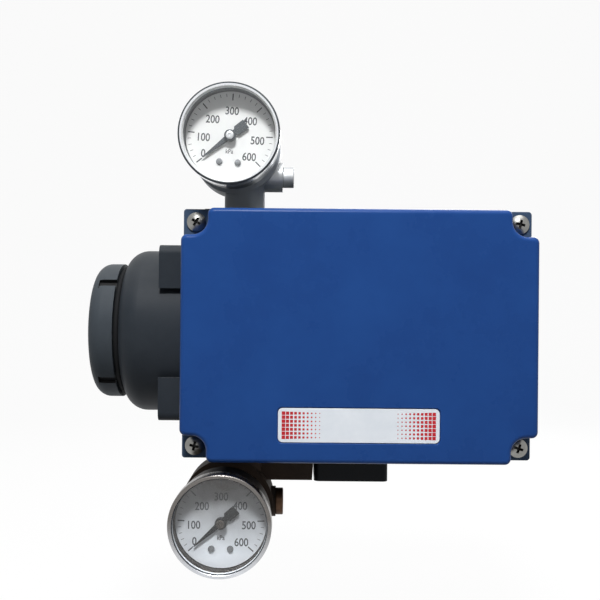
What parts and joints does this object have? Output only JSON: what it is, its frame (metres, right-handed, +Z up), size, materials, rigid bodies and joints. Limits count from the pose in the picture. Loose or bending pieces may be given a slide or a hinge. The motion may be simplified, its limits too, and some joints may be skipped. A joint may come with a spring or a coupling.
{
  "type": "valve positioner",
  "caption": "Box-shaped valve positioner: blue screwed cover, dark case, domed terminal housing with screw cap, pressure gauges above and below, feedback lever behind.",
  "frame": {"origin": "centre of the four tapped mounting holes on the flat back face", "axes": "+X right seen from the front, +Y to the back, out of the mounting face, +Z up"},
  "size_m": [0.2003, 0.13, 0.2084],
  "materials": {
    "cover_paint": "blue stoved paint on a die casting",
    "casting_paint": "dark grey paint on a die casting",
    "black_paint": "black paint on a casting",
    "rubber": "matt",
    "steel": "plated or stainless",
    "gauge_steel": "satin",
    "gauge_chrome": "polished",
    "brass": "machined",
    "copper": "enamelled copper wire",
    "light_alloy": "machined",
    "glass": "clear",
    "dial_white": "white enamel",
    "pointer_black": "black enamel",
    "iron": "plated iron",
    "insulator": "moulded"
  },
  "bodies": {
    "case": {"case": "casting_paint", "terminal_housing": "casting_paint", "upper_gauge_block": "casting_paint", "air_block": "black_paint", "lower_gauge_block": "black_paint", "cover_gasket": "rubber", "shaft_seal": "rubber", "housing_seal": "rubber", "relay_diaphragm": "rubber", "housing_bolts": "steel", "pivot_pin": "steel", "pivot_bracket": "steel", "relay_screws": "steel", "zero_bracket": "steel", "upper_block_plug": "steel", "upper_gauge_case": "gauge_steel", "lower_gauge_case": "gauge_steel", "upper_gauge_ring": "gauge_chrome", "lower_gauge_ring": "gauge_chrome", "upper_gauge_socket": "brass", "lower_gauge_socket": "brass", "upper_movement": "brass", "lower_movement": "brass", "upper_bourdon_tube": "brass", "lower_bourdon_tube": "brass", "nozzle": "brass", "terminal_screws": "brass", "shaft_bushes": "brass", "lower_block_plug": "brass", "coil_winding": "copper", "relay_base": "light_alloy", "relay_cap": "light_alloy", "upper_gauge_lens": "glass", "lower_gauge_lens": "glass", "upper_gauge_dial": "dial_white", "lower_gauge_dial": "dial_white", "motor_yoke": "iron", "motor_magnets": "iron", "terminal_base": "insulator", "coil_bobbin": "insulator"},
    "cover": {"front_cover": "cover_paint", "cover_screws": "steel", "nameplate": "light_alloy"},
    "cap_ring": {"cap_seal": "rubber"},
    "cap": {"terminal_cap": "casting_paint"},
    "feedback": {"feedback_shaft": "steel", "feedback_lever": "steel", "lever_nut": "steel", "feedback_arm": "light_alloy"},
    "beam": {"beam": "light_alloy", "feedback_spring": "steel", "zero_spring": "steel"},
    "upper_pointer": {"upper_pointer": "pointer_black"},
    "upper_sector": {"upper_sector": "brass"},
    "lower_pointer": {"lower_pointer": "pointer_black"},
    "lower_sector": {"lower_sector": "brass"},
    "zero_wheel": {"zero_screw": "brass"},
    "zero_carrier": {"zero_nut": "light_alloy"},
    "switch": {"auto_manual_switch": "brass"}
  },
  "joints": [
    {"name": "cover_lift", "type": "slide", "parent": "case", "child": "cover", "axis": [0, -1, 0], "range_m": [0, 0.06]},
    {"name": "cap_turn", "type": "hinge", "parent": "cap_ring", "child": "cap", "pos_m": [-0.122, -0.0395, 0], "axis": [-1, 0, 0], "range_deg": [0, 1440]},
    {"name": "cap_advance", "type": "slide", "parent": "case", "child": "cap_ring", "axis": [-1, 0, 0], "range_m": [0, 0.0081]},
    {"name": "feedback_turn", "type": "hinge", "parent": "case", "child": "feedback", "pos_m": [0, 0, -0.014], "axis": [0, 1, 0], "range_deg": [-20, 20], "deforming": ["feedback_spring"]},
    {"name": "beam_tilt", "type": "hinge", "parent": "case", "child": "beam", "pos_m": [-0.026, -0.038, 0.006], "axis": [0, 1, 0], "range_deg": [-1, 1], "stiffness_Nm_per_rad": 0.4},
    {"name": "upper_pointer_turn", "type": "hinge", "parent": "case", "child": "upper_pointer", "pos_m": [-0.056, -0.08, 0.0856], "axis": [0, 1, 0], "range_deg": [0, 263], "stiffness_Nm_per_rad": 0.0003},
    {"name": "upper_sector_turn", "type": "hinge", "parent": "case", "child": "upper_sector", "pos_m": [-0.06611, -0.08, 0.07666], "axis": [0, 1, 0], "range_deg": [-33, 0]},
    {"name": "lower_pointer_turn", "type": "hinge", "parent": "case", "child": "lower_pointer", "pos_m": [-0.058, -0.087, -0.0794], "axis": [0, 1, 0], "range_deg": [0, 263], "stiffness_Nm_per_rad": 0.0003},
    {"name": "lower_sector_turn", "type": "hinge", "parent": "case", "child": "lower_sector", "pos_m": [-0.06755, -0.087, -0.08895], "axis": [0, 1, 0], "range_deg": [-33, 0]},
    {"name": "zero_turn", "type": "hinge", "parent": "case", "child": "zero_wheel", "pos_m": [-0.014, -0.038, -0.038], "axis": [0, 0, 1], "range_deg": [-1080, 1080]},
    {"name": "zero_travel", "type": "slide", "parent": "case", "child": "zero_carrier", "axis": [0, 0, 1], "range_m": [-0.0031, 0.0031], "deforming": ["zero_spring"]},
    {"name": "switch_turn", "type": "hinge", "parent": "case", "child": "switch", "pos_m": [0.053, -0.044, 0.025], "axis": [0, 1, 0], "range_deg": [0, 90]}
  ],
  "couplings": [
    {"joint": "cap_advance", "follows": "cap_turn", "m_per_rad": 0.00031831},
    {"joint": "upper_sector_turn", "follows": "upper_pointer_turn", "ratio": -0.125},
    {"joint": "lower_sector_turn", "follows": "lower_pointer_turn", "ratio": -0.125},
    {"joint": "zero_travel", "follows": "zero_turn", "m_per_rad": 0.00015915}
  ]
}
